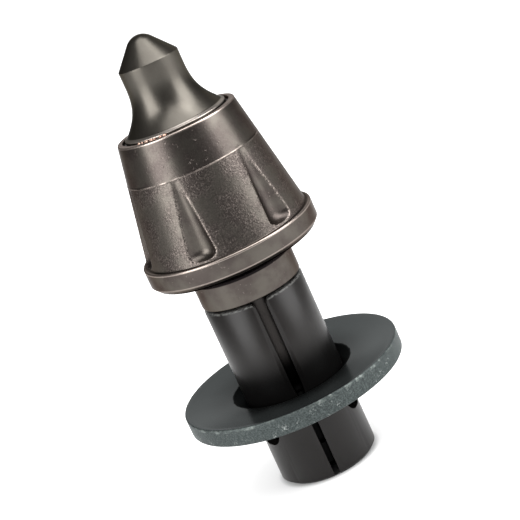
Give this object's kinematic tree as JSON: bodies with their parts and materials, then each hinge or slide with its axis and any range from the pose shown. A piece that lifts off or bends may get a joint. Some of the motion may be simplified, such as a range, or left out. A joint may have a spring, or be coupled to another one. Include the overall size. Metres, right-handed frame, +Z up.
{
  "type": "road milling pick",
  "caption": "Forged steel milling pick with a brazed carbide tip, fluted head, slotted clamping sleeve on its shank and a dished wear washer around the sleeve.",
  "frame": {"origin": "centre of the lower end of the clamping sleeve, on the surface that the pick stands on", "axes": "+Z up the pick's axis to the carbide tip; the sleeve's slot faces -Y"},
  "size_m": [0.044, 0.044, 0.0902],
  "materials": {
    "cemented_carbide": "sintered, satin",
    "braze_metal": "dull, fluxed",
    "forged_steel": "forged and blasted, brown-grey",
    "black_spring_steel": "oiled black",
    "black_plate_steel": "oiled black"
  },
  "bodies": {
    "sleeve": {"clamping_sleeve": "black_spring_steel"},
    "pick": {"pick_body": "forged_steel", "braze_joint": "braze_metal", "carbide_tip": "cemented_carbide"},
    "washer": {"wear_washer": "black_plate_steel"}
  },
  "joints": [
    {"name": "pick_rotation", "type": "hinge", "parent": "sleeve", "child": "pick", "pos_m": [0, 0, 0.02], "axis": [0, 0, 1], "continuous": true},
    {"name": "washer_slide", "type": "slide", "parent": "sleeve", "child": "washer", "axis": [0, 0, 1], "range_m": [0, 0.0259]}
  ]
}
